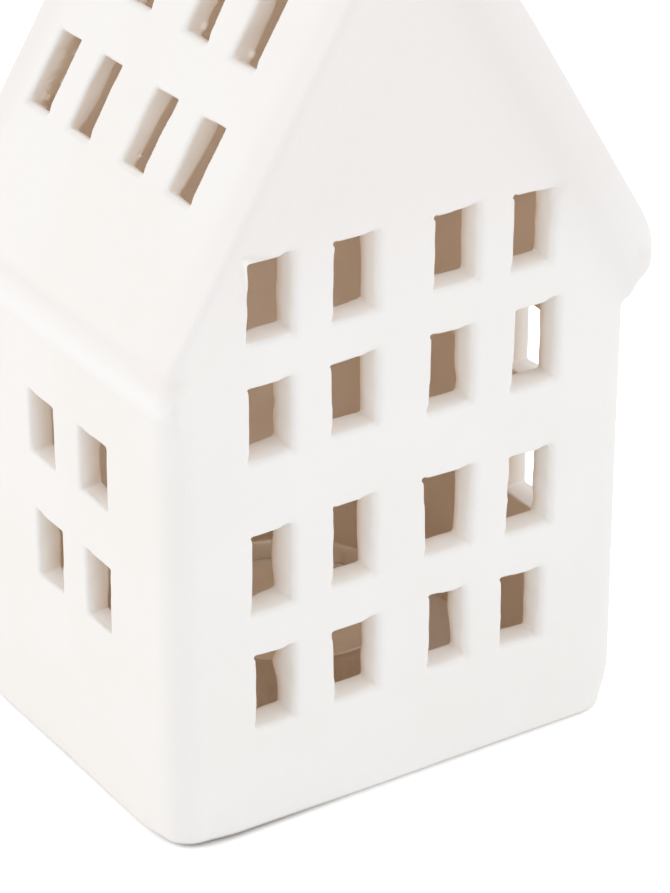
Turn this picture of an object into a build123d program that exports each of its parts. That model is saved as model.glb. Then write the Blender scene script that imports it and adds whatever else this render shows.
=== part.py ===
from build123d import *
import math
import os

# Tealight house: a one-piece slip-cast ceramic house with hand-cut windows, and a tealight inside.
# The house is open at the base and stands over the tealight, on the same surface.
# Millimetres, +Z up. The origin is the centre of the base, and the gable with the windows faces -Y.

# Walls
wall_width = 80.0
wall_depth = 60.0
wall_thickness = 4.9
roof_thickness = 3.4
corner_radius = 5.0
base_edge_radius = 0.9
inner_corner_radius = 3.0
inner_base_radius = 0.8

# Roof: two straight slopes that run out into a soft lip along the gables. Under each eave a band slants
# back from the nose to the wall.
roof_pitch = 58.4
eave_height = 81.7
eave_overhang = 2.4
eave_band_height = 7.8
verge_overhang = 3.3
verge_lip = 3.5
verge_cove = 5.7
verge_foot_rise = 5.5
ridge_radius = 3.0
eave_nose_radius = 3.0
verge_edge_radius = 1.3

# Front windows, four columns and four rows
window_width = 7.8
window_height = 12.6
column_pitch = 13.9
middle_column_pitch = 16.8
columns_shift = -0.9
lowest_window_height = 23.5
lower_row_pitch = 19.6
middle_row_pitch = 23.7
upper_row_pitch = 18.5

# Side windows, two columns and two rows in each side wall
side_window_width = 7.6
side_window_height = 10.8
side_column_pitch = 14.6
side_columns_shift = -1.2
lowest_side_window_height = 34.4
side_row_pitch = 20.6

# Roof slots, two rows of four in each slope, measured down the slope from the ridge line
slot_width = 5.7
slot_length = 11.5
slot_pitch = 12.2
middle_slot_pitch = 15.1
slots_shift = 2.4
upper_slot_run = 31.5
slot_row_pitch = 20.3

# Tealight
cup_diameter = 38.0
cup_height = 15.5
cup_thickness = 0.3
cup_rim_width = 0.5
wax_height = 12.0
wick_diameter = 1.4
wick_rise = 7.0
tab_diameter = 12.0
tab_thickness = 0.3
tab_neck_diameter = 3.0
tab_neck_height = 3.5
tealight_setback = 3.0
casting_gap = 0.05

# How far a cutter runs past the face that it cuts
overrun = 6.0

slope_angle = math.radians(roof_pitch)
half_width = wall_width / 2
half_depth = wall_depth / 2
inner_half_width = half_width - wall_thickness
inner_half_depth = half_depth - wall_thickness
ridge_height = eave_height + half_width * math.tan(slope_angle)
nose_reach = half_width + eave_overhang
nose_height = ridge_height - nose_reach * math.tan(slope_angle)
roof_foot_height = nose_height - eave_band_height


def front_plane(y):
    """Drawing plane that faces the front, with its x to the right and its y up."""
    return Plane(origin=(0, y, 0), x_dir=(1, 0, 0), z_dir=(0, -1, 0))


def slope_triangle(depth, foot):
    """Triangle that lies the given depth inside both roof slopes and ends at the foot height."""
    top = ridge_height - depth / math.cos(slope_angle)
    reach = (top - foot) / math.tan(slope_angle)
    return Polygon((0, top), (-reach, foot), (reach, foot), align=None)


def wall_block():
    outline = RectangleRounded(wall_width, wall_depth, corner_radius)
    block = extrude(outline, nose_height)
    foot_edges = block.edges().group_by(Axis.Z)[0]
    return fillet(foot_edges, base_edge_radius)


def gable_recess(side):
    """The space in front of a gable wall, framed by the lip and the cove of the roof."""
    outer_y = side * (half_depth + verge_overhang)
    wall_y = side * half_depth
    foot = roof_foot_height - overrun
    mouth = front_plane(outer_y) * slope_triangle(verge_lip, foot)
    seat = front_plane(wall_y) * slope_triangle(verge_lip + verge_cove, foot)
    return loft([mouth.face(), seat.face()], ruled=True)


def verge_foot_cutter(side):
    """Trims the foot of a gable's lip, which rises from the wall to the outer face."""
    slant = verge_foot_rise / verge_overhang
    far_y = verge_overhang + overrun
    foot = Polygon((0, 0), (0, -overrun), (far_y, -overrun), (far_y, far_y * slant), align=None)
    start = Plane(
        origin=(-side * (nose_reach + overrun), side * half_depth, roof_foot_height),
        x_dir=(0, side, 0),
        z_dir=(side, 0, 0),
    )
    return extrude(start * foot, 2 * (nose_reach + overrun))


def roof_block():
    outline = Polygon(
        (0, ridge_height),
        (-nose_reach, nose_height),
        (-half_width, roof_foot_height),
        (half_width, roof_foot_height),
        (nose_reach, nose_height),
        align=None,
    )
    corners = outline.vertices().group_by(Axis.Y)
    outline = fillet(corners[-1], ridge_radius)
    corners = outline.vertices().group_by(Axis.X)
    outline = fillet(corners[0] + corners[-1], eave_nose_radius)
    roof_depth = wall_depth + 2 * verge_overhang
    roof = extrude(front_plane(roof_depth / 2) * outline, roof_depth)
    end_edges = roof.edges().group_by(Axis.Y)
    roof = fillet(end_edges[0] + end_edges[-1], verge_edge_radius)
    for side in (-1, 1):
        roof -= gable_recess(side)
        roof -= verge_foot_cutter(side)
    return roof


def cavity():
    """The hollow inside: upright walls down through the open base, and the two slopes offset inwards."""
    top = ridge_height - roof_thickness / math.cos(slope_angle)
    knee = top - inner_half_width * math.tan(slope_angle)
    outline = Polygon(
        (0, top),
        (-inner_half_width, knee),
        (-inner_half_width, -overrun),
        (inner_half_width, -overrun),
        (inner_half_width, knee),
        align=None,
    )
    hollow = extrude(front_plane(inner_half_depth) * outline, 2 * inner_half_depth)
    upright_edges = hollow.edges().filter_by(Axis.Z)
    return fillet(upright_edges, inner_corner_radius)


def four_places(outer_pitch, middle_pitch, shift):
    """Centres of two pairs, one on each side of a wider middle gap."""
    inner = middle_pitch / 2
    outer = inner + outer_pitch
    return [shift - outer, shift - inner, shift + inner, shift + outer]


def front_window_cutters():
    columns = four_places(column_pitch, middle_column_pitch, columns_shift)
    rows = [lowest_window_height]
    for pitch in (lower_row_pitch, middle_row_pitch, upper_row_pitch):
        rows.append(rows[-1] + pitch)
    reach = verge_overhang + wall_thickness + 2 * overrun
    middle = -half_depth + wall_thickness + overrun - reach / 2
    places = [Pos(x, middle, z) for x in columns for z in rows]
    return [place * Box(window_width, reach, window_height) for place in places]


def side_window_cutters():
    columns = [side_columns_shift - side_column_pitch / 2, side_columns_shift + side_column_pitch / 2]
    rows = [lowest_side_window_height, lowest_side_window_height + side_row_pitch]
    reach = wall_thickness + 2 * overrun
    middle = half_width - wall_thickness / 2
    places = [Pos(side * middle, y, z) for side in (-1, 1) for y in columns for z in rows]
    return [place * Box(reach, side_window_width, side_window_height) for place in places]


def slot_cutters():
    """Slots that run down the slope and are cut square to it."""
    reach = wall_thickness + 2 * overrun
    cutters = []
    for side in (-1, 1):
        down = Vector(side * math.cos(slope_angle), 0, -math.sin(slope_angle))
        outward = Vector(side * math.sin(slope_angle), 0, math.cos(slope_angle))
        for run in (upper_slot_run, upper_slot_run + slot_row_pitch):
            for y in four_places(slot_pitch, middle_slot_pitch, slots_shift):
                skin = Vector(0, y, ridge_height) + down * run
                middle = skin - outward * (wall_thickness / 2)
                place = Plane(origin=middle, x_dir=down, z_dir=outward)
                cutters.append(place * Box(slot_length, slot_width, reach))
    return cutters


def house_shell():
    house = wall_block() + roof_block() - cavity()
    rim = house.faces().sort_by(Axis.Z)[0]
    house = fillet(rim.inner_wires()[0].edges(), inner_base_radius)
    return house - front_window_cutters() - side_window_cutters() - slot_cutters()


def round_at_tealight(diameter, height, base):
    """Upright cylinder on the tealight's axis, with its base at the given height."""
    return Pos(0, tealight_setback, base + height / 2) * Cylinder(diameter / 2, height)


wax_base = cup_thickness + casting_gap
tab_base = cup_thickness
wick_base = tab_base + tab_thickness


def tealight_cup():
    inner_diameter = cup_diameter - 2 * (cup_thickness + cup_rim_width)
    wall = round_at_tealight(inner_diameter + 2 * cup_thickness, cup_height, 0)
    rim = round_at_tealight(cup_diameter, cup_thickness, cup_height - cup_thickness)
    inside = round_at_tealight(inner_diameter, cup_height, cup_thickness)
    return wall + rim - inside


def tealight_wax():
    diameter = cup_diameter - 2 * (cup_thickness + cup_rim_width + casting_gap)
    fill = round_at_tealight(diameter, wax_height, wax_base)
    bore = round_at_tealight(wick_diameter + 2 * casting_gap, wax_height, wax_base)
    tab_room = round_at_tealight(tab_diameter + 2 * casting_gap, tab_thickness + casting_gap, tab_base)
    neck_room = round_at_tealight(
        tab_neck_diameter + 2 * casting_gap, tab_thickness + tab_neck_height + casting_gap, tab_base
    )
    return fill - bore - tab_room - neck_room


def wick():
    height = wax_base + wax_height + wick_rise - wick_base
    return round_at_tealight(wick_diameter, height, wick_base)


def wick_tab():
    plate = round_at_tealight(tab_diameter, tab_thickness, tab_base)
    neck = round_at_tealight(tab_neck_diameter, tab_neck_height, tab_base + tab_thickness)
    bore = round_at_tealight(wick_diameter + 2 * casting_gap, tab_neck_height, wick_base)
    return plate + neck - bore


os.makedirs("parts", exist_ok=True)
export_step(house_shell(), "parts/house_shell.step")
export_step(tealight_cup(), "parts/tealight_cup.step")
export_step(tealight_wax(), "parts/tealight_wax.step")
export_step(wick(), "parts/wick.step")
export_step(wick_tab(), "parts/wick_tab.step")
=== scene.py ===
import bpy
import math
import numpy as np
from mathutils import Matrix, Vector

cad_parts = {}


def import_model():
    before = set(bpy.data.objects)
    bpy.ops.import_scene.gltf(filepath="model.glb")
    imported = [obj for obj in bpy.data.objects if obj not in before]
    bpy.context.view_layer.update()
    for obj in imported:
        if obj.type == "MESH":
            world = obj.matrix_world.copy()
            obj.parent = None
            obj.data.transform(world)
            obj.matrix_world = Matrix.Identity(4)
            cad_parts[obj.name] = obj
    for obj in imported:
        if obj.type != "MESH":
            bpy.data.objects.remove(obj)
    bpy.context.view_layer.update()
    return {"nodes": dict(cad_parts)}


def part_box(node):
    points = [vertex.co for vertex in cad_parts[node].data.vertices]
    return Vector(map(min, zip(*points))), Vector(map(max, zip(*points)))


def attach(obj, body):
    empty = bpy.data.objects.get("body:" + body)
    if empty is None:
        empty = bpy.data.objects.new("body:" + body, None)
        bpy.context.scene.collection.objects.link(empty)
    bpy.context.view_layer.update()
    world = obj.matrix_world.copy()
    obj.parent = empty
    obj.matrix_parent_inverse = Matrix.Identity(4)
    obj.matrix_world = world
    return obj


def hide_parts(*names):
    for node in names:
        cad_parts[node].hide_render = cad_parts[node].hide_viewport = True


# A white slip-cast tealight house on a plain white table. The casting is modelled as a distance field,
# in millimetres, and turned into a mesh, so every edge of it is as soft as sponged clay.
# The frame is the CAD's: +Z up, the window gable faces -Y, the origin is the centre of the base.

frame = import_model()
MM = 0.001

# Walls and roof, the sizes of the CAD model
WALL_WIDTH = 80.0
WALL_DEPTH = 60.0
WALL_THICKNESS = 4.9
ROOF_THICKNESS = 3.4
CORNER_RADIUS = 5.0
INNER_CORNER_RADIUS = 3.0
ROOF_PITCH = math.radians(58.4)
EAVE_HEIGHT = 81.7
EAVE_OVERHANG = 2.4
EAVE_BAND_HEIGHT = 7.8
NOSE_RADIUS = 3.0
VERGE_OVERHANG = 3.3
VERGE_LIP = 3.5
VERGE_COVE = 5.7
VERGE_FOOT_RISE = 5.5
VERGE_RADIUS = 1.3

HALF_WIDTH = WALL_WIDTH / 2
HALF_DEPTH = WALL_DEPTH / 2
INNER_HALF_WIDTH = HALF_WIDTH - WALL_THICKNESS
INNER_HALF_DEPTH = HALF_DEPTH - WALL_THICKNESS
SIN_PITCH = math.sin(ROOF_PITCH)
COS_PITCH = math.cos(ROOF_PITCH)
RIDGE_HEIGHT = EAVE_HEIGHT + HALF_WIDTH * SIN_PITCH / COS_PITCH
NOSE_REACH = HALF_WIDTH + EAVE_OVERHANG
NOSE_HEIGHT = RIDGE_HEIGHT - NOSE_REACH * SIN_PITCH / COS_PITCH
ROOF_FOOT = NOSE_HEIGHT - EAVE_BAND_HEIGHT
VERGE_REACH = HALF_DEPTH + VERGE_OVERHANG

# How soft the casting is. The ridge is softer than in the CAD model, and the foot's edge a little crisper.
RIDGE_RADIUS = 5.5
BASE_EDGE_RADIUS = 0.7
CREASE_RADIUS = 1.4
LIP_RADIUS = 1.0
EAVE_END_RADIUS = 3.3
EAVE_FOOT_MORE = 2.8
EAVE_FOOT_RADIUS = 0.6
CRISP_EDGE_RADIUS = 0.3
SOFT_EDGE_RADIUS = 1.3
INNER_EDGE_RADIUS = 0.3
CUT_CORNER_RADIUS = 0.15
CUT_SIDE_RADIUS = 0.1

# How uneven it is: how high its waves are, their length, and the seed of their directions
SKIN_RIPPLE = (0.06, 24.0, 3)
INSIDE_RIPPLE = (0.2, 9.0, 8)
CUT_RIPPLE = (0.08, 5.0, 21)
RIPPLE_WAVES = 5
RIPPLE_SPREAD = (0.7, 1.5)
RIPPLE_PEAK = 3.2

# From here on, each name that ends in RAMP holds where a change starts and the length that it takes

# The lip's lower end grows rounder from above the nose downwards, and once more below the nose
EAVE_END_RAMP = (NOSE_HEIGHT + 7, 9)
EAVE_FOOT_RAMP = (NOSE_HEIGHT - 2, 4)

# The slopes stand a little proud between the verges
VERGE_DROOP = 0.15
VERGE_DROOP_WIDTH = 5.0

# The front end of the right slope came out a little high
RIGHT_RAISE = 0.6
RAISE_RIGHT_RAMP = (5, 15)
RAISE_FRONT_RAMP = (20, 10)
RAISE_UP_RAMP = (76, 10)

# A shallow crease runs along each slope just above its nose, and ends before the verges
EAVE_CREASE_DEPTH = 0.5
EAVE_CREASE_WIDTH = 1.5
EAVE_CREASE_RISE = 0.6
EAVE_CREASE_RAMP = (4, 6)

# How far the foot's front corners are worn in, and up to what height: the left one all round, the right
# one only at its side
LEFT_WEAR = 0.8
LEFT_WEAR_HEIGHT = 14.0
LEFT_WEAR_RAMP = (HALF_WIDTH + HALF_DEPTH - 11, 6)
RIGHT_WEAR = 2.2
RIGHT_WEAR_HEIGHT = 8.0
RIGHT_WEAR_RAMP = (12, 10)

# How far the foot stands clear of the table at its front left corner, the share of that in the middle of
# the front, and how much that share changes from the middle to either side
FOOT_LIFT = 0.36
FOOT_LIFT_RAMP = (20, 8)
FOOT_LIFT_MIDDLE = 0.55
FOOT_LIFT_TILT = 0.45

# The knife's slip on the front: its two ends (across and up), half its width, and its depth
SLIP = ((-29.4, 85.7), (-24.6, 93.0))
SLIP_WIDTH = 0.4
SLIP_DEPTH = 0.35

# How much thinner the left wall came out
LEFT_THINNER = 0.95
LEFT_THINNER_RAMP = (-22, 8)

# Where the wall is thicker than elsewhere: the place on the front wall's inner side (across and up), how
# far around, and by how much
LUMPS = (
    (-19.4, 66.5, 9.0, 0.9),
    (-19.4, 43.0, 10.0, 1.3),
    (-19.4, 23.6, 2.3, 1.5),
    (-19.4, 18.0, 9.0, 0.5),
)
LUMP_RAMP = (-15, 6)

# The grid that the field is sampled on, its field value far from every cut, and how far around a cut it
# is looked at
GRID_STEP = 0.34
GRID_MARGIN = 1.6
FAR_FROM_CUTS = 20.0
CUT_MARGIN = 3.0

# The share of the mesh's faces that is kept, since flat parts need few
KEPT_SHARE = 0.17


# Distance field arithmetic

def round_max(a, b, radius):
    """Intersection of two fields, with the edge between them rounded."""
    both = np.hypot(np.maximum(a + radius, 0), np.maximum(b + radius, 0))
    return np.minimum(np.maximum(a, b), -radius) + both


def round_min(a, b, radius):
    """Union of two fields, with the crease between them filled."""
    both = np.hypot(np.maximum(radius - a, 0), np.maximum(radius - b, 0))
    return np.maximum(np.minimum(a, b), radius) - both


def smooth_step(share):
    share = np.clip(share, 0, 1)
    return share * share * (3 - 2 * share)


def grow(value, ramp):
    """Smooth growth from 0 to 1, as the value rises from the ramp's start over its length."""
    start, length = ramp
    return smooth_step((value - start) / length)


def fade(value, ramp):
    """Smooth growth from 0 to 1, as the value falls from the ramp's start over its length."""
    start, length = ramp
    return smooth_step((start - value) / length)


def climb(value, ramp):
    """Even growth from 0 to 1, as the value rises from the ramp's start over its length."""
    start, length = ramp
    return np.clip((value - start) / length, 0, 1)


def rounded_rectangle(x, y, half_x, half_y, radius):
    qx = np.abs(x) - half_x + radius
    qy = np.abs(y) - half_y + radius
    outside = np.hypot(np.maximum(qx, 0), np.maximum(qy, 0))
    return outside + np.minimum(np.maximum(qx, qy), 0) - radius


def ripple(x, y, z, kind):
    """Smooth unevenness made of a few waves in fixed random directions."""
    height, wavelength, seed = kind
    random = np.random.default_rng(seed)
    total = 0
    for _ in range(RIPPLE_WAVES):
        direction = random.normal(size=3)
        direction /= np.linalg.norm(direction)
        pace = 2 * math.pi / (wavelength * random.uniform(*RIPPLE_SPREAD))
        phase = random.uniform(0, 2 * math.pi)
        total = total + np.sin(pace * (direction[0] * x + direction[1] * y + direction[2] * z) + phase)
    return height * (total / RIPPLE_PEAK)


# The casting before it is cut

def roof_depth(x, z):
    """How far a point lies inside the nearer roof slope."""
    return (RIDGE_HEIGHT - z) * COS_PITCH - np.abs(x) * SIN_PITCH


def roof_body(x, y, z):
    depth = roof_depth(x, z)
    left_slope = -x * SIN_PITCH - (RIDGE_HEIGHT - z) * COS_PITCH
    right_slope = x * SIN_PITCH - (RIDGE_HEIGHT - z) * COS_PITCH
    near_verge = np.maximum(np.abs(y) - VERGE_REACH + VERGE_DROOP_WIDTH, 0) / VERGE_DROOP_WIDTH
    profile = round_max(left_slope, right_slope, RIDGE_RADIUS) + VERGE_DROOP * (near_verge ** 2 - 1)
    at_right = grow(x, RAISE_RIGHT_RAMP) * grow(-y, RAISE_FRONT_RAMP) * grow(z, RAISE_UP_RAMP)
    profile = profile - RIGHT_RAISE * at_right
    above_nose = (z - NOSE_HEIGHT - EAVE_CREASE_RISE) / EAVE_CREASE_WIDTH
    crease_end = grow(VERGE_REACH - np.abs(y), EAVE_CREASE_RAMP)
    profile = profile + EAVE_CREASE_DEPTH * np.exp(-above_nose ** 2) * crease_end
    # Under the eave a band slants back from the nose to the wall
    band = math.hypot(EAVE_BAND_HEIGHT, EAVE_OVERHANG)
    reach = np.abs(x) - NOSE_REACH
    under = (reach * EAVE_BAND_HEIGHT + (NOSE_HEIGHT - z) * EAVE_OVERHANG) / band
    profile = round_max(profile, under, NOSE_RADIUS)
    # The lip's lower end is rounded off, and its foot rises from the wall to the outer face
    end = VERGE_RADIUS + (EAVE_END_RADIUS - VERGE_RADIUS) * fade(z, EAVE_END_RAMP)
    end = end + EAVE_FOOT_MORE * fade(z, EAVE_FOOT_RAMP)
    body = round_max(profile, np.abs(y) - VERGE_REACH, end)
    rise = VERGE_FOOT_RISE / VERGE_OVERHANG
    foot = (ROOF_FOOT - z + rise * np.maximum(np.abs(y) - HALF_DEPTH, 0)) / math.hypot(1, rise)
    body = round_max(body, foot, EAVE_FOOT_RADIUS)
    # The gable is set back behind a lip, and a slanting cove joins the two
    slant = VERGE_COVE / VERGE_OVERHANG
    cove = depth - VERGE_LIP - slant * (VERGE_REACH - np.abs(y))
    recess = np.maximum(HALF_DEPTH - CREASE_RADIUS - np.abs(y), -cove / math.hypot(1, slant))
    return round_max(body, -recess, LIP_RADIUS)


def casting(x, y, z):
    """Outer skin of the casting: the walls up into the roof, with a soft crease where they meet it."""
    low = np.clip(1 - z / RIGHT_WEAR_HEIGHT, 0, 1)
    worn_in = RIGHT_WEAR * low ** 2 * grow(-y, RIGHT_WEAR_RAMP) * (x > 0)
    walls = rounded_rectangle(x + worn_in, y, HALF_WIDTH, HALF_DEPTH, CORNER_RADIUS)
    low = np.clip(1 - z / LEFT_WEAR_HEIGHT, 0, 1)
    corner = grow(np.abs(x) + np.abs(y), LEFT_WEAR_RAMP)
    walls = walls + LEFT_WEAR * low ** 2 * corner * ((x < 0) & (y < 0))
    to_left = FOOT_LIFT_MIDDLE - FOOT_LIFT_TILT * x / HALF_WIDTH
    lift = FOOT_LIFT * grow(-y, FOOT_LIFT_RAMP) * to_left
    walls = round_max(walls, lift - z, BASE_EDGE_RADIUS)
    walls = np.maximum(walls, VERGE_LIP + CREASE_RADIUS - roof_depth(x, z))
    skin = round_min(walls, roof_body(x, y, z), CREASE_RADIUS)
    return skin + ripple(x, y, z, SKIN_RIPPLE) + knife_slip(x, y, z)


def knife_slip(x, y, z):
    """Fine groove beside the upper left window, where the knife ran out."""
    (x0, z0), (x1, z1) = SLIP
    length = math.hypot(x1 - x0, z1 - z0)
    along = ((x - x0) * (x1 - x0) + (z - z0) * (z1 - z0)) / length ** 2
    aside = ((x - x0) * (z1 - z0) - (z - z0) * (x1 - x0)) / length
    shape = np.exp(-(aside / SLIP_WIDTH) ** 2) * np.clip(4 * along * (1 - along), 0, 1)
    return SLIP_DEPTH * shape * (y < -HALF_DEPTH + WALL_THICKNESS / 2)


def hollow(x, y, z):
    """The space inside, whose wall is a little lumpy, as slip leaves it."""
    sides = rounded_rectangle(x, y, INNER_HALF_WIDTH, INNER_HALF_DEPTH, INNER_CORNER_RADIUS)
    space = round_max(sides, ROOF_THICKNESS - roof_depth(x, z), INNER_CORNER_RADIUS)
    space = space + ripple(x, y, z, INSIDE_RIPPLE) - LEFT_THINNER * fade(x, LEFT_THINNER_RAMP)
    for across, up, around, more in LUMPS:
        far = ((x - across) ** 2 + (z - up) ** 2) / around ** 2
        space = space + more * np.exp(-far) * fade(y, LUMP_RAMP)
    return space


# The openings, cut by hand with a knife

# How far a cut runs on past the wall's inner side, and past the verge in front of it
CUT_PAST_INSIDE = 3.0
CUT_PAST_VERGE = 2.5

# How far a cut's sides lean at random from one end to the other
CUT_LEAN = 0.15
LEAN_SEED = 5

# Where the knife overran a window's upper left corner: how far right of it and below it the nick sits
NICK_RIGHT = 0.05
NICK_DOWN = 0.2

# The crumb of clay at a slot's foot: its size, its height above the foot, its depth under the inner side,
# and the radius of its edge
SLOT_BURR = 0.6
BURR_RISE = 1.4
BURR_INSET = 0.3
BURR_EDGE_RADIUS = 0.2

# Where the sponge made an opening's edge soft, as shares of its width and of its height
SOFT_SIDE_RAMP = (0.6, 0.3)
SOFT_FOOT_RAMP = (0.16, 0.16)
FIRM_FOOT = 0.1
SPONGED_FOOT = 0.8


class Opening:
    """A four-sided cut through a wall. Its sides are given at their two ends, because no cut is square."""

    def __init__(
        self, across, up, out, soft_side, left, right, top, bottom,
        nick=0.0, soft_foot=FIRM_FOOT, skew=0.0, burr=0.0,
    ):
        # The wall's own three directions
        self.across = across
        self.up = up
        self.out = out
        # The cut's four sides
        self.left = left
        self.right = right
        self.top = top
        self.bottom = bottom
        # How far the knife overran, and how much the left side leans to widen the cut inwards
        self.nick = nick
        self.skew = skew
        # What the sponge softened, and the size of the crumb that it left
        self.soft_side = soft_side
        self.soft_foot = soft_foot
        self.burr = burr

    def box(self, margin):
        """Lowest and highest corner of the cut, in millimetres."""
        corners = []
        for u in (min(self.left) - margin, max(self.right) + margin):
            for w in (min(self.bottom) - margin, max(self.top) + margin):
                for n in (-WALL_THICKNESS - CUT_PAST_INSIDE, VERGE_OVERHANG + margin):
                    corner = self.origin() + u * self.across[:3] + w * self.up[:3] + n * self.out[:3]
                    corners.append(corner)
        return np.min(corners, axis=0), np.max(corners, axis=0)

    def origin(self):
        """The point where all three of the opening's own coordinates are zero."""
        axes = np.array([self.across[:3], self.up[:3], self.out[:3]])
        shifts = np.array([self.across[3], self.up[3], self.out[3]])
        return -np.linalg.solve(axes, shifts)

    def field(self, x, y, z):
        """The cut's distance field, and the radius of its edges there."""
        u = self.across[0] * x + self.across[1] * y + self.across[2] * z + self.across[3]
        w = self.up[0] * x + self.up[1] * y + self.up[2] * z + self.up[3]
        n = self.out[0] * x + self.out[1] * y + self.out[2] * z + self.out[3]
        height = max(self.top) - min(self.bottom)
        width = max(self.right) - min(self.left)
        rise = (w - min(self.bottom)) / height
        run = (u - min(self.left)) / width
        wobble = ripple(x, y, z, CUT_RIPPLE)
        # In front of the wall the knife ran in at a slant, which shows where a cut meets the roof's cove
        slant = np.maximum(n, 0)
        left = self.left[1] + (self.left[0] - self.left[1]) * rise - u + wobble - slant
        left = left + self.skew * np.minimum(n, 0)
        right = u - self.right[1] - (self.right[0] - self.right[1]) * rise + wobble
        top = w - self.top[0] - (self.top[1] - self.top[0]) * run + wobble - slant
        bottom = self.bottom[0] + (self.bottom[1] - self.bottom[0]) * run - w + wobble
        across = round_max(left, right, CUT_SIDE_RADIUS)
        upright = round_max(top, bottom, CUT_SIDE_RADIUS)
        sides = round_max(across, upright, CUT_CORNER_RADIUS)
        if self.nick:
            ear = np.hypot(u - self.left[0] - NICK_RIGHT, w - self.top[0] + NICK_DOWN) - self.nick
            sides = np.minimum(sides, ear)
        if self.burr:
            inner = self.left[1] - self.skew * ROOF_THICKNESS
            aside = (u - inner) ** 2 + (w - self.bottom[0] - BURR_RISE) ** 2
            crumb = np.sqrt(aside + (n + ROOF_THICKNESS - BURR_INSET) ** 2)
            sides = round_max(sides, self.burr - crumb, BURR_EDGE_RADIUS)
        past_inside = -WALL_THICKNESS - CUT_PAST_INSIDE - n
        depth = np.maximum(past_inside, n - VERGE_OVERHANG - CUT_PAST_VERGE)
        # The knife leaves crisp edges, and the sponge a soft one at one side and at the foot
        towards = run if self.soft_side > 0 else 1 - run
        side_soft = abs(self.soft_side) * grow(towards, SOFT_SIDE_RAMP)
        soft = np.maximum(side_soft, self.soft_foot * fade(rise, SOFT_FOOT_RAMP))
        return np.maximum(sides, depth), CRISP_EDGE_RADIUS + (SOFT_EDGE_RADIUS - CRISP_EDGE_RADIUS) * soft


def axis(x, y, z, shift):
    return np.array([x, y, z, shift], float)


# How soft the sponge made the soft side of a front window, and of any other cut
SPONGED_SIDE = 1
LIGHTLY_SPONGED_SIDE = 0.4

# Each wall's across, up and out, and how soft its cuts are at the right (above 0) or at the left (below 0)
FRONT = (axis(1, 0, 0, 0), axis(0, 0, 1, 0), axis(0, -1, 0, -HALF_DEPTH), SPONGED_SIDE)
LEFT_WALL = (axis(0, -1, 0, 0), axis(0, 0, 1, 0), axis(-1, 0, 0, -HALF_WIDTH), -LIGHTLY_SPONGED_SIDE)
RIGHT_WALL = (axis(0, 1, 0, 0), axis(0, 0, 1, 0), axis(1, 0, 0, -HALF_WIDTH), LIGHTLY_SPONGED_SIDE)


def slope(side):
    """Axes of a roof slope and its soft side: across is along the ridge, up is up the slope."""
    return (
        axis(0, side, 0, 0),
        axis(-side * COS_PITCH, 0, SIN_PITCH, -RIDGE_HEIGHT * SIN_PITCH),
        axis(side * SIN_PITCH, 0, COS_PITCH, -RIDGE_HEIGHT * COS_PITCH),
        side * LIGHTLY_SPONGED_SIDE,
    )


# Front windows, row by row from the top and left to right. Each line gives the left side at its top and
# bottom, the right side at its top and bottom, and the head and the sill at their left and right.
FRONT_WINDOWS = (
    ((-26.9, -27.0), (-19.4, -19.4), (91.5, 91.5), (79.4, 79.4)),
    ((-12.7, -13.0), (-5.5, -5.5), (91.4, 91.2), (79.1, 79.4)),
    ((4.2, 4.1), (11.7, 11.7), (91.2, 91.3), (79.8, 79.7)),
    ((17.8, 17.7), (24.7, 24.6), (91.1, 90.7), (79.3, 79.3)),
    ((-26.8, -26.8), (-19.6, -19.6), (72.6, 72.6), (61.0, 61.2)),
    ((-13.2, -13.0), (-5.4, -5.4), (72.7, 73.0), (61.4, 61.4)),
    ((3.8, 3.4), (11.0, 11.0), (72.9, 72.5), (60.4, 60.4)),
    ((18.5, 18.1), (26.1, 26.1), (72.9, 73.1), (60.0, 60.0)),
    ((-26.5, -26.7), (-19.7, -19.7), (49.2, 49.3), (36.4, 36.7)),
    ((-12.8, -12.9), (-5.8, -5.8), (50.0, 49.9), (36.9, 37.0)),
    ((2.7, 3.4), (11.6, 11.1), (50.1, 49.7), (37.1, 36.9)),
    ((18.0, 17.7), (25.7, 25.7), (49.2, 49.0), (36.2, 36.2)),
    ((-26.2, -26.2), (-19.5, -19.5), (29.6, 29.4), (17.4, 17.4)),
    ((-13.1, -12.5), (-5.1, -5.1), (29.5, 29.5), (17.5, 17.5)),
    ((4.1, 4.0), (10.3, 10.9), (30.2, 29.5), (17.6, 17.6)),
    ((17.1, 17.2), (24.5, 24.5), (29.1, 28.5), (17.2, 16.7)),
)

# How far the knife overran the upper left corner of each front window, in the same order
FRONT_NICKS = (0.0, 0.36, 0.36, 0.38, 0.3, 0.3, 0.34, 0.0, 0.33, 0.28, 0.4, 0.0, 0.36, 0.0, 0.3, 0.36)

# Side windows: near and far side from the front, head and sill, for the left wall and the right wall
LEFT_WINDOWS = (
    (-12.2, -4.2, 59.6, 49.4),
    (3.2, 10.4, 59.4, 49.4),
    (-12.3, -5.2, 40.0, 29.1),
    (1.9, 9.4, 39.7, 28.9),
)
RIGHT_WINDOWS = (
    (-13.4, -4.4, 62.1, 49.5),
    (2.4, 9.2, 60.1, 49.4),
    (-13.3, -4.6, 40.3, 27.7),
    (2.6, 9.2, 39.9, 28.9),
)

# Roof slots: the middle of each along the ridge, its width, and how much the knife leaned at its rear side
SLOTS = ((-17.3, 6.0, -0.06), (-4.7, 5.7, -0.06), (10.3, 5.5, 0.14), (22.3, 5.7, 0.0))

# Where each row of slots starts and ends down the slope
SLOT_ROWS = ((25.8, 37.2), (46.1, 57.6))


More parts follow.
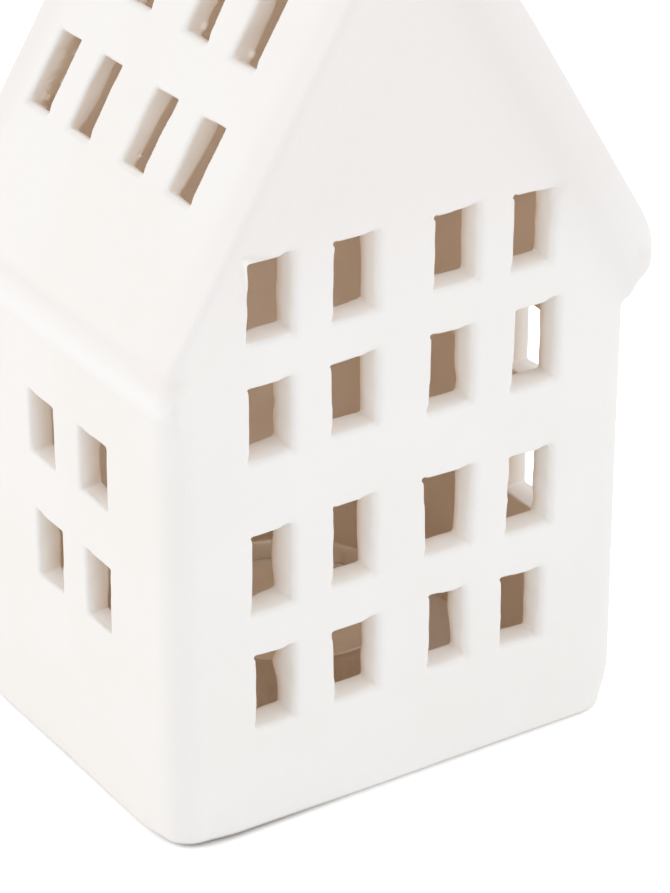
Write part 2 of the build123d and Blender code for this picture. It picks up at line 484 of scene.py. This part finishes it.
def openings():
    found = []
    for (left, right, head, sill), nick in zip(FRONT_WINDOWS, FRONT_NICKS):
        found.append(Opening(*FRONT, left, right, head, sill, nick, soft_foot=SPONGED_FOOT))
    random = np.random.default_rng(LEAN_SEED)

    def lean():
        return random.uniform(-CUT_LEAN, CUT_LEAN, 4)

    def leaning_sides(first, last, shift):
        return (first + shift[0], first - shift[0]), (last + shift[1], last - shift[1])

    for wall, windows, way in ((LEFT_WALL, LEFT_WINDOWS, -1), (RIGHT_WALL, RIGHT_WINDOWS, 1)):
        for near, far, head, sill in windows:
            shift = lean()
            sides = leaning_sides(*sorted((way * near, way * far)), shift)
            found.append(Opening(*wall, *sides, (head + shift[2], head - shift[2]), (sill, sill + shift[3])))
    for side in (-1, 1):
        for start, end in SLOT_ROWS:
            for middle, width, skew in SLOTS:
                shift = lean()
                sides = leaning_sides(side * middle - width / 2, side * middle + width / 2, shift)
                ends = (-start + shift[2], -start - shift[2]), (-end + shift[3], -end - shift[3])
                slot = Opening(*slope(side), *sides, *ends, soft_foot=SPONGED_FOOT, skew=skew, burr=SLOT_BURR)
                found.append(slot)
    return found


def house_field(xs, ys, zs):
    """The whole casting's field on a grid."""
    x = xs[:, None, None]
    y = ys[None, :, None]
    z = zs[None, None, :]
    skin = casting(x, y, z).astype(np.float32)
    cuts = np.full(skin.shape, FAR_FROM_CUTS, np.float32)
    edge = np.full(skin.shape, CRISP_EDGE_RADIUS, np.float32)
    for opening in openings():
        low, high = opening.box(CUT_MARGIN)
        near = [slice(*np.searchsorted(s, (a, b))) for s, a, b in zip((xs, ys, zs), low, high)]
        part, radius = opening.field(x[near[0]], y[:, near[1]], z[:, :, near[2]])
        nearer = part < cuts[tuple(near)]
        cuts[tuple(near)][nearer] = part[nearer]
        edge[tuple(near)][nearer] = radius[nearer]
    body = round_max(skin, -cuts, edge)
    body = round_max(body, -hollow(x, y, z), INNER_EDGE_RADIUS)
    return body.astype(np.float32)


# From the field to a mesh

def surface_net(values, start, step):
    """Points and four-sided faces of a field's zero surface: one point in each cut cell of the grid."""
    inside = values < 0
    count = np.zeros([n - 1 for n in values.shape], np.uint8)
    for i in (0, 1):
        for j in (0, 1):
            for k in (0, 1):
                count += inside[i:i - 1 or None, j:j - 1 or None, k:k - 1 or None]
    cut = (count > 0) & (count < 8)
    cells = np.argwhere(cut)
    number = np.full(cut.shape, -1, np.int32)
    number[cut] = np.arange(len(cells))
    total = np.zeros((len(cells), 3))
    hits = np.zeros(len(cells))
    for way in range(3):
        others = [w for w in range(3) if w != way]
        for a in (0, 1):
            for b in (0, 1):
                near = np.zeros(3, int)
                near[others] = a, b
                far = near.copy()
                far[way] = 1
                v0 = values[tuple((cells + near).T)]
                v1 = values[tuple((cells + far).T)]
                crossed = (v0 < 0) != (v1 < 0)
                share = np.where(crossed, v0 / np.where(crossed, v0 - v1, 1), 0)
                point = near + share[:, None] * (far - near)
                total += np.where(crossed[:, None], point, 0)
                hits += crossed
    points = start + step * (cells + total / hits[:, None])
    faces = []
    for way in range(3):
        ahead = np.moveaxis(inside, way, 0)
        grid = np.moveaxis(number, way, 0)
        starts = np.argwhere(ahead[:-1, 1:-1, 1:-1] != ahead[1:, 1:-1, 1:-1])
        i, j, k = starts.T
        ring = np.stack([grid[i, j, k], grid[i, j + 1, k], grid[i, j + 1, k + 1], grid[i, j, k + 1]], 1)
        solid_first = ahead[i, j + 1, k + 1]
        if way == 1:
            solid_first = ~solid_first
        faces.append(np.where(solid_first[:, None], ring, ring[:, ::-1]))
    return points, np.concatenate(faces)


def mesh_from(name, points, faces):
    mesh = bpy.data.meshes.new(name)
    sides = faces.shape[1]
    mesh.vertices.add(len(points))
    mesh.vertices.foreach_set("co", np.asarray(points, np.float32).ravel())
    mesh.loops.add(faces.size)
    mesh.loops.foreach_set("vertex_index", faces.astype(np.int32).ravel())
    mesh.polygons.add(len(faces))
    mesh.polygons.foreach_set("loop_start", np.arange(0, faces.size, sides, dtype=np.int32))
    mesh.update(calc_edges=True)
    mesh.validate()
    mesh.shade_smooth()
    return mesh


def link(name, mesh):
    piece = bpy.data.objects.new(name, mesh)
    bpy.context.scene.collection.objects.link(piece)
    return piece


def grid_line(lowest, highest):
    """Places of the grid's samples along one axis, with a margin at both ends."""
    start = lowest - GRID_MARGIN
    stop = highest + GRID_MARGIN + GRID_STEP
    return np.arange(start, stop, GRID_STEP, dtype=np.float32)


def build_house():
    xs = grid_line(-NOSE_REACH, NOSE_REACH)
    ys = grid_line(-VERGE_REACH, VERGE_REACH)
    zs = grid_line(0, RIDGE_HEIGHT - RIDGE_RADIUS / 2)
    corner = np.array([xs[0], ys[0], zs[0]], float)
    points, faces = surface_net(house_field(xs, ys, zs), corner, GRID_STEP)
    points[:, 1] = np.clip(points[:, 1], -VERGE_REACH, VERGE_REACH)
    points[:, 2] = np.maximum(points[:, 2], 0)
    house = link("house_casting", mesh_from("house_casting", points * MM, faces))
    if KEPT_SHARE < 1:
        fewer = house.modifiers.new("fewer faces", "DECIMATE")
        fewer.ratio = KEPT_SHARE
        graph = bpy.context.evaluated_depsgraph_get()
        house.data = bpy.data.meshes.new_from_object(house.evaluated_get(graph))
        house.modifiers.clear()
        house.data.shade_smooth()
    mark_depth(house.data)
    return house


# A length so small that it only keeps a division from failing
TINY = 0.001

# How much painted shade the slots and the side windows hold, and from what depth on, as shares of the wall
SLOT_PAINTED_SHADE = 0.45
SLOT_SHADE_RAMP = (0.02, 0.16)
SLOT_SHADE_FADE = 0.5
SIDE_PAINTED_SHADE = 0.62
SIDE_SHADE_RAMP = (0.1, 0.8)

# Where a point belongs to a slot or to a side window: its distances from the walls, slopes and eaves
SLOT_FROM_GABLE = 1.5
SIDE_FROM_GABLE = 0.5
BESIDE_WALL = 0.6
FROM_EAVE = 4
PAST_THICKNESS = 1

# Beside the gable walls a slot's inner edge is painted dark, as painted shade of the dark inside, and its
# sides count as this deep at most
DARK_EDGE_RAMP = (0.66, 0.1)
DARK_EDGE_DEPTH = 0.55

# What counts as a slot's foot, and as a window's sill: how much it faces up, its depth and its height
SLOT_FOOT_FACING = 0.62
SILL_FACING = 0.6
SILL_DEPTH = (0.02, 0.5)
SILL_LOWEST = 3
SILL_HIGHEST = EAVE_HEIGHT + 12

# Painted shade on the gable: where it grows, out towards the gable and upwards
GABLE_OUT_RAMP = (HALF_DEPTH - 4, 4)
GABLE_UP_RAMP = (78, 20)

# Painted shade in the crease above the eave: its rise over the nose, half its width, how much wider it is
# near its front end, and where that is
CREASE_RISE = 0.2
CREASE_WIDTH = 1.2
CREASE_WIDER = 2
CREASE_FRONT = (-27, 3.5)
CREASE_INSET = 2

# The band under the eave painted whiter, as a painted highlight, and the foot's rim at the front left corner
# painted grey, as a painted contact shadow
BAND_TOP_RAMP = (NOSE_HEIGHT - 1.2, 3.5)
BAND_FOOT_RAMP = (ROOF_FOOT - 0.5, 2.5)
BAND_OUT_RAMP = (HALF_WIDTH, 0.4)
FOOT_UP_RAMP = (1.1, 0.6)
FOOT_LEFT_RAMP = (-5, 26)
FOOT_FRONT_RAMP = (-26, 3)


def cut_marks(x, y, z, upward):
    """Each point's depth under the outer skin, as a share of the wall, and how much painted shade its cut
    holds.
    """
    under = np.maximum(-casting(x, y, z), 0)
    depth = under / (under + np.maximum(hollow(x, y, z), 0) + TINY)
    below_slope = roof_depth(x, z)
    in_slope = (np.abs(y) < HALF_DEPTH - SLOT_FROM_GABLE) & (z > EAVE_HEIGHT + FROM_EAVE)
    in_slope = in_slope & (below_slope < ROOF_THICKNESS + PAST_THICKNESS)
    in_side = (np.abs(y) < INNER_HALF_DEPTH - SIDE_FROM_GABLE) & (z < EAVE_HEIGHT - FROM_EAVE)
    in_side = in_side & (np.abs(x) > INNER_HALF_WIDTH - PAST_THICKNESS)
    slot_shade = SLOT_PAINTED_SHADE * climb(depth, SLOT_SHADE_RAMP) * (1 - SLOT_SHADE_FADE * depth)
    share = below_slope / ROOF_THICKNESS
    beside_wall = in_slope & (np.abs(y) > INNER_HALF_DEPTH - BESIDE_WALL)
    dark_edge = grow(share, DARK_EDGE_RAMP)
    slot_shade = np.where(beside_wall, SLOT_PAINTED_SHADE * (1 - dark_edge) + dark_edge, slot_shade)
    depth = np.where(beside_wall, np.clip(share, 0, DARK_EDGE_DEPTH), depth)
    # Up-facing slot feet, which face the light, get no painted shade
    slot_shade = np.where(upward > SLOT_FOOT_FACING, 0.0, slot_shade)
    side_shade = SIDE_PAINTED_SHADE * climb(depth, SIDE_SHADE_RAMP)
    cut_shade = np.where(in_slope, slot_shade, np.where(in_side, side_shade, 0.0))
    # The sills get painted light: they take no painted shade and no deep clay colour, so they stay as light
    # as the cut faces
    shallowest, deepest = SILL_DEPTH
    sill = (upward > SILL_FACING) & (z < SILL_HIGHEST) & (z > SILL_LOWEST) & (depth > shallowest)
    depth = np.where(sill, np.minimum(depth, deepest), depth)
    return depth, np.where(sill, 0.0, cut_shade)


def skin_marks(x, y, z):
    """How much each point has of the painted shade on the gable and in the eave's crease, of the painted
    highlight on the band under the eave and of the painted shadow on the foot's rim.
    """
    gable = grow(np.abs(y), GABLE_OUT_RAMP) * grow(z, GABLE_UP_RAMP)
    # The crease's painted shade, wider near its front end
    front, around = CREASE_FRONT
    at_front = np.exp(-((y - front) / around) ** 2)
    above = (z - NOSE_HEIGHT - CREASE_RISE) / (CREASE_WIDTH + CREASE_WIDER * at_front)
    crease = np.exp(-above ** 2) * (np.abs(x) > HALF_WIDTH - CREASE_INSET)
    # The band's painted highlight under the eave
    band = fade(z, BAND_TOP_RAMP) * grow(z, BAND_FOOT_RAMP) * grow(np.abs(x), BAND_OUT_RAMP)
    # The foot rim's painted contact shadow
    foot = fade(z, FOOT_UP_RAMP) * fade(x, FOOT_LEFT_RAMP) * fade(y, FOOT_FRONT_RAMP)
    return np.maximum(gable, crease), band, foot


def mark_depth(mesh):
    """Keeps on each point of the mesh the marks that its colour is mixed by."""
    place = np.empty(len(mesh.vertices) * 3, np.float32)
    mesh.vertices.foreach_get("co", place)
    x, y, z = place.reshape(-1, 3).T / MM
    facing = np.empty(len(mesh.vertices) * 3, np.float32)
    mesh.vertex_normals.foreach_get("vector", facing)
    depth, cut_shade = cut_marks(x, y, z, facing.reshape(-1, 3)[:, 2])
    gable, band, foot = skin_marks(x, y, z)
    kept = {"depth": depth, "cut_shade": cut_shade, "gable": gable, "band": band, "foot": foot}
    for name, values in kept.items():
        layer = mesh.attributes.new(name, "FLOAT", "POINT")
        layer.data.foreach_set("value", values.astype(np.float32))


# Materials

def new_material(name):
    material = bpy.data.materials.new(name)
    material.use_nodes = True
    nodes = material.node_tree.nodes
    return material, nodes, material.node_tree.links, nodes["Principled BSDF"]


def noise(nodes, links, scale, detail=3.0, roughness=0.5):
    place = nodes.new("ShaderNodeTexCoord")
    texture = nodes.new("ShaderNodeTexNoise")
    texture.inputs["Scale"].default_value = scale
    texture.inputs["Detail"].default_value = detail
    texture.inputs["Roughness"].default_value = roughness
    links.new(place.outputs["Object"], texture.inputs["Vector"])
    return texture.outputs["Fac"]


def mix_colours(nodes, links, factor, first, second):
    mix = nodes.new("ShaderNodeMix")
    mix.data_type = "RGBA"
    for socket, value in ((mix.inputs[0], factor), (mix.inputs[6], first), (mix.inputs[7], second)):
        if isinstance(value, bpy.types.NodeSocket):
            links.new(value, socket)
        else:
            socket.default_value = value
    return mix.outputs[2]


def remap(nodes, links, value, taken, given=(0, 1), smooth=False):
    """Turns the range of values that is taken into the range that is given."""
    change = nodes.new("ShaderNodeMapRange")
    change.interpolation_type = "SMOOTHSTEP" if smooth else "LINEAR"
    links.new(value, change.inputs["Value"])
    for end, number in zip(("From Min", "From Max", "To Min", "To Max"), (*taken, *given)):
        change.inputs[end].default_value = number
    return change.outputs["Result"]


def bump(nodes, links, shader, height, strength, distance):
    relief = nodes.new("ShaderNodeBump")
    relief.inputs["Strength"].default_value = strength
    relief.inputs["Distance"].default_value = distance
    links.new(height, relief.inputs["Height"])
    links.new(relief.outputs["Normal"], shader.inputs["Normal"])


# The noise texture stays mostly within this range
NOISE_RANGE = (0.3, 0.7)

OUTER_WHITE = (0.848, 0.843, 0.836, 1)
OUTER_WARM = (0.842, 0.832, 0.820, 1)
# Painted shade on the gables and in the crease above each eave
GABLE_PAINTED_SHADE = (0.825, 0.803, 0.797, 1)
# Painted highlight on the band under each eave
BAND_PAINTED_HIGHLIGHT = (0.872, 0.874, 0.876, 1)
# Painted contact shadow on the foot's rim at the front left corner
FOOT_PAINTED_SHADOW = (0.46, 0.44, 0.42, 1)
# The cut faces are painted lighter than the outer skin, as painted light in the reveals
CUT_PAINTED_LIGHT = (0.97, 0.955, 0.932, 1)
# Painted shade deeper in the cuts
CUT_PAINTED_SHADE = (0.68, 0.55, 0.42, 1)
INNER_CLAY = (0.895, 0.80, 0.695, 1)
ALUMINIUM = (0.95, 0.90, 0.84, 1)
STEEL = (0.62, 0.62, 0.63, 1)
METAL_SHADE = 0.86
WAX_LIGHT = (0.86, 0.79, 0.69, 1)
WAX_DARK = (0.82, 0.75, 0.64, 1)
COTTON_LIGHT = (0.90, 0.88, 0.82, 1)
COTTON_DARK = (0.74, 0.71, 0.64, 1)


def kept_value(nodes, name):
    """The value of that name which mark_depth keeps on each point of the mesh."""
    kept = nodes.new("ShaderNodeAttribute")
    kept.attribute_name = name
    return kept.outputs["Fac"]


def ceramic():
    """Matt white biscuit ware outside, bare warm clay inside, with a fine dry grain, and with painted shade
    and painted light mixed into its colour.
    """
    material, nodes, links, shader = new_material("matt_ceramic_fired")
    cloud = remap(nodes, links, noise(nodes, links, scale=45, detail=2.0), taken=(0.35, 0.65), smooth=True)
    white = mix_colours(nodes, links, cloud, OUTER_WHITE, OUTER_WARM)
    depth, cut_shade = (kept_value(nodes, name) for name in ("depth", "cut_shade"))
    # Painted shade on the gables and in the eave crease
    white = mix_colours(nodes, links, kept_value(nodes, "gable"), white, GABLE_PAINTED_SHADE)
    # Painted highlight on the band under the eave
    white = mix_colours(nodes, links, kept_value(nodes, "band"), white, BAND_PAINTED_HIGHLIGHT)
    # Cut faces take the lighter cut colour, as painted light in the reveals
    cut = remap(nodes, links, depth, taken=(0.05, 0.3), smooth=True)
    inward = remap(nodes, links, depth, taken=(0.6, 0.97), smooth=True)
    # Painted shade deeper in the cuts' sides
    cut_side = mix_colours(nodes, links, cut_shade, CUT_PAINTED_LIGHT, CUT_PAINTED_SHADE)
    skin = mix_colours(nodes, links, cut, white, cut_side)
    colour = mix_colours(nodes, links, inward, skin, INNER_CLAY)
    # Painted contact shadow on the foot's rim
    colour = mix_colours(nodes, links, kept_value(nodes, "foot"), colour, FOOT_PAINTED_SHADOW)
    links.new(colour, shader.inputs["Base Color"])
    grain = noise(nodes, links, scale=2600, detail=4.0, roughness=0.6)
    links.new(remap(nodes, links, grain, NOISE_RANGE, given=(0.62, 0.78)), shader.inputs["Roughness"])
    shader.inputs["Specular IOR Level"].default_value = 0.15
    bump(nodes, links, shader, grain, strength=0.12, distance=0.00012)
    return material


def plain_metal(name, colour, roughness):
    material, nodes, links, shader = new_material(name)
    patches = noise(nodes, links, scale=400, detail=4.0)
    darker = tuple(c * METAL_SHADE for c in colour[:3]) + (1,)
    links.new(mix_colours(nodes, links, patches, colour, darker), shader.inputs["Base Color"])
    rough = remap(nodes, links, patches, NOISE_RANGE, given=(roughness - 0.06, roughness + 0.08))
    links.new(rough, shader.inputs["Roughness"])
    shader.inputs["Metallic"].default_value = 1.0
    bump(nodes, links, shader, noise(nodes, links, scale=900), strength=0.15, distance=0.0001)
    return material


def wax_material():
    material, nodes, links, shader = new_material("paraffin_wax")
    cloud = noise(nodes, links, scale=160)
    links.new(mix_colours(nodes, links, cloud, WAX_LIGHT, WAX_DARK), shader.inputs["Base Color"])
    links.new(remap(nodes, links, cloud, NOISE_RANGE, given=(0.34, 0.48)), shader.inputs["Roughness"])
    shader.inputs["Subsurface Weight"].default_value = 0.3
    shader.inputs["Subsurface Radius"].default_value = (0.004, 0.003, 0.002)
    shader.inputs["Subsurface Scale"].default_value = 1.0
    bump(nodes, links, shader, noise(nodes, links, scale=300), strength=0.1, distance=0.0003)
    return material


def cotton():
    material, nodes, links, shader = new_material("waxed_cotton")
    fibres = noise(nodes, links, scale=3500, detail=4.0, roughness=0.7)
    links.new(mix_colours(nodes, links, fibres, COTTON_LIGHT, COTTON_DARK), shader.inputs["Base Color"])
    shader.inputs["Roughness"].default_value = 0.7
    bump(nodes, links, shader, fibres, strength=0.3, distance=0.0001)
    return material


def dress(piece, material):
    piece.data.materials.clear()
    piece.data.materials.append(material)


# The tealight's looks

def turned(name, outline, steps, wave=None):
    """Solid turned round the tealight's axis from (radius, height) points. An outline that starts and ends
    on the axis is closed there, and any other is a closed ring."""
    low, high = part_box("tealight_cup")
    centre = (low + high) / 2
    on_axis = outline[0][0] == 0
    rim = outline[1:-1] if on_axis else outline
    rows = len(rim)
    points = []
    for s in range(steps):
        turn = 2 * math.pi * s / steps
        for radius, height in rim:
            r = (radius + (wave(turn, height) if wave else 0)) * MM
            points.append((centre.x + r * math.cos(turn), centre.y + r * math.sin(turn), height * MM))
    faces = []
    for s in range(steps):
        a = s * rows
        b = (s + 1) % steps * rows
        faces += [(a + i, b + i, b + i + 1, a + i + 1) for i in range(rows - 1)]
        if on_axis:
            faces += [(steps * rows, b, a), (a + rows - 1, b + rows - 1, steps * rows + 1)]
        else:
            faces.append((a + rows - 1, b + rows - 1, b, a))
    if on_axis:
        points += [(centre.x, centre.y, outline[0][1] * MM), (centre.x, centre.y, outline[-1][1] * MM)]
    mesh = bpy.data.meshes.new(name)
    mesh.from_pydata(points, [], faces)
    mesh.validate()
    mesh.shade_smooth()
    return link(name, mesh)


# Outlines of the cup and the wax, as (radius, height) in millimetres
CUP_OUTLINE = (
    (0, 0.06), (15.4, 0.06), (16.0, 0.0), (17.1, 0.0), (17.9, 0.22), (18.35, 0.75), (18.5, 1.6), (18.5, 2.6),
    (18.5, 4.0), (18.5, 6.5), (18.5, 9.0), (18.5, 11.5), (18.5, 13.2), (18.5, 14.2), (18.55, 14.7),
    (18.72, 14.95), (18.93, 15.05), (19.0, 15.25), (18.9, 15.44), (18.66, 15.5), (18.4, 15.4), (18.27, 15.05),
    (18.22, 14.2), (18.22, 13.2), (18.22, 11.5), (18.22, 9.0), (18.22, 6.5), (18.22, 4.0), (18.22, 2.6),
    (18.2, 1.7), (18.0, 0.95), (17.5, 0.45), (16.9, 0.3), (0, 0.3),
)
WAX_OUTLINE = (
    (0.76, 4.2), (1.56, 4.2), (1.56, 0.66), (6.06, 0.66), (6.06, 0.36), (17.2, 0.36), (17.8, 0.8),
    (18.05, 1.7), (18.1, 6.0), (18.1, 11.6), (18.08, 12.3), (17.9, 12.33), (17.5, 12.1), (16.6, 11.88),
    (14.5, 11.76), (11.0, 11.7), (7.5, 11.72), (4.5, 11.8), (2.8, 11.95), (1.6, 12.18), (1.0, 12.32),
    (0.76, 12.34),
)
WAX_STEPS = 96

# The cup's flutes: how many, how deep, the steps round each, and where they run out below and above
CUP_FLUTES = 60
FLUTE_DEPTH = 0.1
FLUTE_STEPS = 6
FLUTE_FOOT_RAMP = (2, 2)
FLUTE_TOP_RAMP = (14, 1.5)

# The wick: its ends, its radius, how far the strands stand out and the height of one twist
WICK_FOOT = 0.65
WICK_TOP = 19.2
WICK_RADIUS = 0.57
WICK_STRANDS = 3
STRAND_RELIEF = 0.09
WICK_TURN = 2.6

# How far its top is bent over, from which share of its height on, and how thin it is frayed at the tip
WICK_BEND = 0.35
WICK_BEND_START = 0.65
WICK_THINNER = 0.45
WICK_TIP_RAMP = (0.96, 0.04)


def flute(turn, height):
    """Fine upright flutes round the cup's side, which run out towards its foot and its rim."""
    full = float(grow(height, FLUTE_FOOT_RAMP) * fade(height, FLUTE_TOP_RAMP))
    return FLUTE_DEPTH * math.cos(CUP_FLUTES * turn) * full


def build_wick():
    """Cotton wick of three twisted strands, a little bent above the wax and frayed thin at its tip."""
    low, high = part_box("wick")
    centre = (low + high) / 2
    rings = 90
    around = 18
    points = []
    for i in range(rings):
        share = i / (rings - 1)
        height = WICK_FOOT + (WICK_TOP - WICK_FOOT) * share
        bend = WICK_BEND * (max(share - WICK_BEND_START, 0) / (1 - WICK_BEND_START)) ** 2
        tip = 1 - WICK_THINNER * float(grow(share, WICK_TIP_RAMP))
        for k in range(around):
            turn = 2 * math.pi * k / around
            twist = 2 * math.pi * height / WICK_TURN
            r = tip * (WICK_RADIUS + STRAND_RELIEF * math.cos(WICK_STRANDS * turn - twist))
            x = centre.x + (r * math.cos(turn) + bend) * MM
            points.append((x, centre.y + r * math.sin(turn) * MM, height * MM))
    faces = [tuple(reversed(range(around))), tuple(range((rings - 1) * around, rings * around))]
    for i in range(rings - 1):
        for k in range(around):
            a = i * around + k
            b = i * around + (k + 1) % around
            faces.append((a, b, b + around, a + around))
    mesh = bpy.data.meshes.new("wick_twisted")
    mesh.from_pydata(points, [], faces)
    mesh.shade_smooth()
    return link("wick_twisted", mesh)


def build_tealight():
    """The tealight's cup, wax and wick, each with the node that it stands for and its material, and the tab's
    material.
    """
    cup = turned("cup_fluted", CUP_OUTLINE, FLUTE_STEPS * CUP_FLUTES, flute)
    wax = turned("wax_filled", WAX_OUTLINE, WAX_STEPS)
    for piece, node, slot_name, material in (
        (cup, "tealight_cup", "cup_aluminium", plain_metal("pressed_aluminium", ALUMINIUM, roughness=0.55)),
        (wax, "tealight_wax", "wax", wax_material()),
        (build_wick(), "wick", "wick_cotton", cotton()),
    ):
        dress(piece, material)
        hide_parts(node)
        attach(piece, "tealight")
    dress(frame["nodes"]["wick_tab"], plain_metal("tinned_steel", STEEL, roughness=0.35))


# Stage, light and camera

FLOOR_REACH = 4.0
TABLE_WHITE = (0.95, 0.95, 0.95, 1)

# The table's own light, the rounding of the unlit place under the house, and where its edge fades
TABLE_GLOW = 0.45
FOOT_CORNER = 8.0
GLOW_EDGE = (FOOT_CORNER - 0.6, FOOT_CORNER + 1.8)


def floor():
    corners = [(x * FLOOR_REACH, y * FLOOR_REACH, 0) for x, y in ((-1, -1), (1, -1), (1, 1), (-1, 1))]
    mesh = bpy.data.meshes.new("floor")
    mesh.from_pydata(corners, [], [(0, 1, 2, 3)])
    plane = link("floor", mesh)
    material, nodes, links, shader = new_material("white_table")
    shader.inputs["Base Color"].default_value = TABLE_WHITE
    shader.inputs["Roughness"].default_value = 0.9
    shader.inputs["Specular IOR Level"].default_value = 0.1
    # A little light of its own to the camera keeps the table white, but not under the house
    place = nodes.new("ShaderNodeNewGeometry")
    reach = place.outputs["Position"]
    for operation, other in (
        ("ABSOLUTE", None),
        ("SUBTRACT", ((HALF_WIDTH - FOOT_CORNER) * MM, (HALF_DEPTH - FOOT_CORNER) * MM, 0)),
        ("MAXIMUM", (0, 0, 0)),
        ("LENGTH", None),
    ):
        step = nodes.new("ShaderNodeVectorMath")
        step.operation = operation
        links.new(reach, step.inputs[0])
        if other:
            step.inputs[1].default_value = other
        reach = step.outputs["Value" if operation == "LENGTH" else "Vector"]
    edge = [side * MM for side in GLOW_EDGE]
    glow = remap(nodes, links, reach, taken=edge, given=(0, TABLE_GLOW), smooth=True)
    ray = nodes.new("ShaderNodeLightPath")
    seen = ray.outputs["Is Camera Ray"]
    for other in ("Is Glossy Ray", "Is Transmission Ray"):
        add = nodes.new("ShaderNodeMath")
        add.operation = "MAXIMUM"
        links.new(seen, add.inputs[0])
        links.new(ray.outputs[other], add.inputs[1])
        seen = add.outputs[0]
    strength = nodes.new("ShaderNodeMath")
    strength.operation = "MULTIPLY"
    links.new(seen, strength.inputs[0])
    links.new(glow, strength.inputs[1])
    shader.inputs["Emission Color"].default_value = (1, 1, 1, 1)
    links.new(strength.outputs[0], shader.inputs["Emission Strength"])
    dress(plane, material)


WORLD_LEVEL = 1.0


def world():
    """Plain white surroundings."""
    sky = bpy.data.worlds.new("studio")
    bpy.context.scene.world = sky
    sky.use_nodes = True
    surroundings = sky.node_tree.nodes["Background"]
    surroundings.inputs["Color"].default_value = (1, 1, 1, 1)
    surroundings.inputs["Strength"].default_value = WORLD_LEVEL


# The lamps stand this far from the middle of the walls, on squares of this size. Each has a name, the way
# to it, its power and its colour.
LAMP_TARGET = Vector((0, 0, 0.07))
LAMP_DISTANCE = 1.3
LAMP_SIZE = 0.9
LAMPS = (
    ("side_light", (-0.8, 0.55, 0.12), 3.4, (1.0, 0.85, 0.7)),
    ("front_light", (0.6, -0.75, 0.12), 2.0, (1.0, 0.92, 0.85)),
)


def lights():
    """Two broad, soft and low lamps: one at the left and behind, one in front and at the right."""
    for name, way, power, colour in LAMPS:
        lamp = bpy.data.lights.new(name, "AREA")
        lamp.shape = "SQUARE"
        lamp.size = LAMP_SIZE
        lamp.energy = power
        lamp.color = colour
        holder = bpy.data.objects.new(name, lamp)
        bpy.context.scene.collection.objects.link(holder)
        holder.location = LAMP_TARGET + Vector(way).normalized() * LAMP_DISTANCE
        aim = LAMP_TARGET - holder.location
        holder.rotation_euler = aim.to_track_quat("-Z", "Y").to_euler()
        holder.visible_camera = False


# The camera that the photograph was taken with: its place, the ways it looks and its focal length
CAMERA_PLACE = Vector((-0.25627, -0.40345, 0.29201))
CAMERA_AZIMUTH = math.radians(-33.107)
CAMERA_DROP = math.radians(27.505)
FRAME_HEIGHT_PX = 893
FOCAL_PX = 3554.3
SENSOR = 36.0
CLOSEST_SEEN = 0.01
FARTHEST_SEEN = 20.0


def camera():
    data = bpy.data.cameras.new("camera")
    data.sensor_fit = "AUTO"
    data.sensor_width = SENSOR
    data.lens = FOCAL_PX / FRAME_HEIGHT_PX * SENSOR
    data.clip_start = CLOSEST_SEEN
    data.clip_end = FARTHEST_SEEN
    view = bpy.data.objects.new("camera", data)
    bpy.context.scene.collection.objects.link(view)
    ahead = Vector((
        -math.sin(CAMERA_AZIMUTH) * math.cos(CAMERA_DROP),
        math.cos(CAMERA_AZIMUTH) * math.cos(CAMERA_DROP),
        -math.sin(CAMERA_DROP),
    ))
    view.location = CAMERA_PLACE
    view.rotation_euler = ahead.to_track_quat("-Z", "Y").to_euler()
    bpy.context.scene.camera = view


DIFFUSE_BOUNCES = 12
ALL_BOUNCES = 16

camera()
house = build_house()
dress(house, ceramic())
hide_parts("house_shell")
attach(house, "house")
build_tealight()
floor()
world()
lights()
bpy.context.scene.view_settings.view_transform = "Standard"
# The light inside the house gets there by many bounces
bpy.context.scene.cycles.diffuse_bounces = DIFFUSE_BOUNCES
bpy.context.scene.cycles.max_bounces = ALL_BOUNCES
